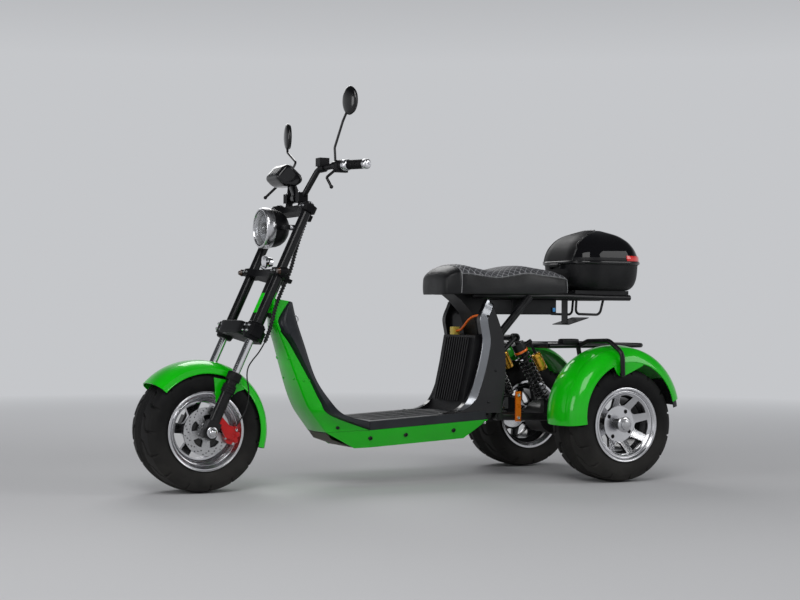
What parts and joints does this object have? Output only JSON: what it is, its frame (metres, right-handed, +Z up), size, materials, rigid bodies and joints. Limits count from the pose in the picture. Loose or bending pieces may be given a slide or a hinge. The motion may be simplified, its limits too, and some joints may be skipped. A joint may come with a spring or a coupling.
{
  "type": "electric tricycle",
  "caption": "Three-wheeled electric scooter with fat tyres, a step-through footboard, long double seat, luggage rack and top case.",
  "frame": {"origin": "on the ground under the middle of the overall length, on the centre plane", "axes": "+X forward, +Y to the rider's left, +Z up"},
  "size_m": [2.095, 0.942, 1.4504],
  "materials": {
    "alloy": "machined",
    "black_plastic": "matt, fine grain",
    "black_steel": "satin powder coat",
    "cable_black": "satin",
    "chrome": "polished",
    "disc_steel": "brushed",
    "fork_black": "satin",
    "gloss_black": "gloss",
    "green_paint": "gloss",
    "grip_rubber": "matt",
    "lamp_red": "gloss",
    "lens": "clear",
    "mat_rubber": "matt",
    "mirror_black": "gloss",
    "orange_anodised": "satin",
    "orange_cable": "satin",
    "red_anodised": "gloss",
    "seat_cover": "satin, grained",
    "signal_amber": "gloss",
    "tyre_black": "matt"
  },
  "bodies": {
    "chassis": {"battery_cable": "orange_cable", "battery_case": "black_plastic", "belly_pan": "black_plastic", "case_carrier": "black_steel", "case_tub": "black_plastic", "floor_mat": "mat_rubber", "footboard": "black_plastic", "housing_covers": "black_plastic", "leg_shield": "green_paint", "link_bars": "orange_anodised", "luggage_rack": "black_steel", "main_frame": "black_steel", "rear_axle_housing": "black_steel", "rear_fenders": "green_paint", "seat_base": "black_plastic", "seat_cushion": "seat_cover", "shield_liner": "black_plastic", "shock_bodies": "black_steel", "shock_springs": "chrome", "sill_panels": "green_paint", "swing_arm": "black_steel", "tail_lamp": "lamp_red", "under_seat_box": "black_plastic"},
    "steering": {"bar_controls": "black_plastic", "brake_hose": "cable_black", "display_pod": "black_plastic", "fork_clamps": "fork_black", "fork_crown": "fork_black", "fork_sliders": "fork_black", "fork_stanchions": "chrome", "fork_tubes": "fork_black", "front_axle": "chrome", "front_caliper": "red_anodised", "front_fender": "green_paint", "hand_grips": "grip_rubber", "handlebar": "black_steel", "headlamp_lens": "lens", "headlamp_shell": "black_plastic", "horn": "chrome", "indicator_lenses": "signal_amber", "indicators": "black_plastic", "mirrors": "mirror_black", "wiring_harness": "cable_black"},
    "front_wheel": {"front_disc": "disc_steel", "front_rim": "alloy", "front_tyre": "tyre_black"},
    "rear_left_wheel": {"rear_left_rim": "alloy", "rear_left_tyre": "tyre_black"},
    "rear_right_wheel": {"rear_right_rim": "alloy", "rear_right_tyre": "tyre_black"},
    "top_case_lid": {"case_lid": "gloss_black"}
  },
  "joints": [
    {"name": "steer", "type": "hinge", "parent": "chassis", "child": "steering", "pos_m": [0.58498, 0, 0.64326], "axis": [-0.4226, 0, 0.9063], "range_deg": [-35, 35]},
    {"name": "front_wheel_spin", "type": "hinge", "parent": "steering", "child": "front_wheel", "pos_m": [0.832, 0, 0.22], "axis": [0, 1, 0], "continuous": true},
    {"name": "rear_left_spin", "type": "hinge", "parent": "chassis", "child": "rear_left_wheel", "pos_m": [-0.728, 0.34, 0.22], "axis": [0, 1, 0], "continuous": true},
    {"name": "rear_right_spin", "type": "hinge", "parent": "chassis", "child": "rear_right_wheel", "pos_m": [-0.728, -0.34, 0.22], "axis": [0, 1, 0], "continuous": true},
    {"name": "case_lid_hinge", "type": "hinge", "parent": "chassis", "child": "top_case_lid", "pos_m": [-0.69, 0, 0.835], "axis": [0, 1, 0], "range_deg": [0, 75]}
  ]
}
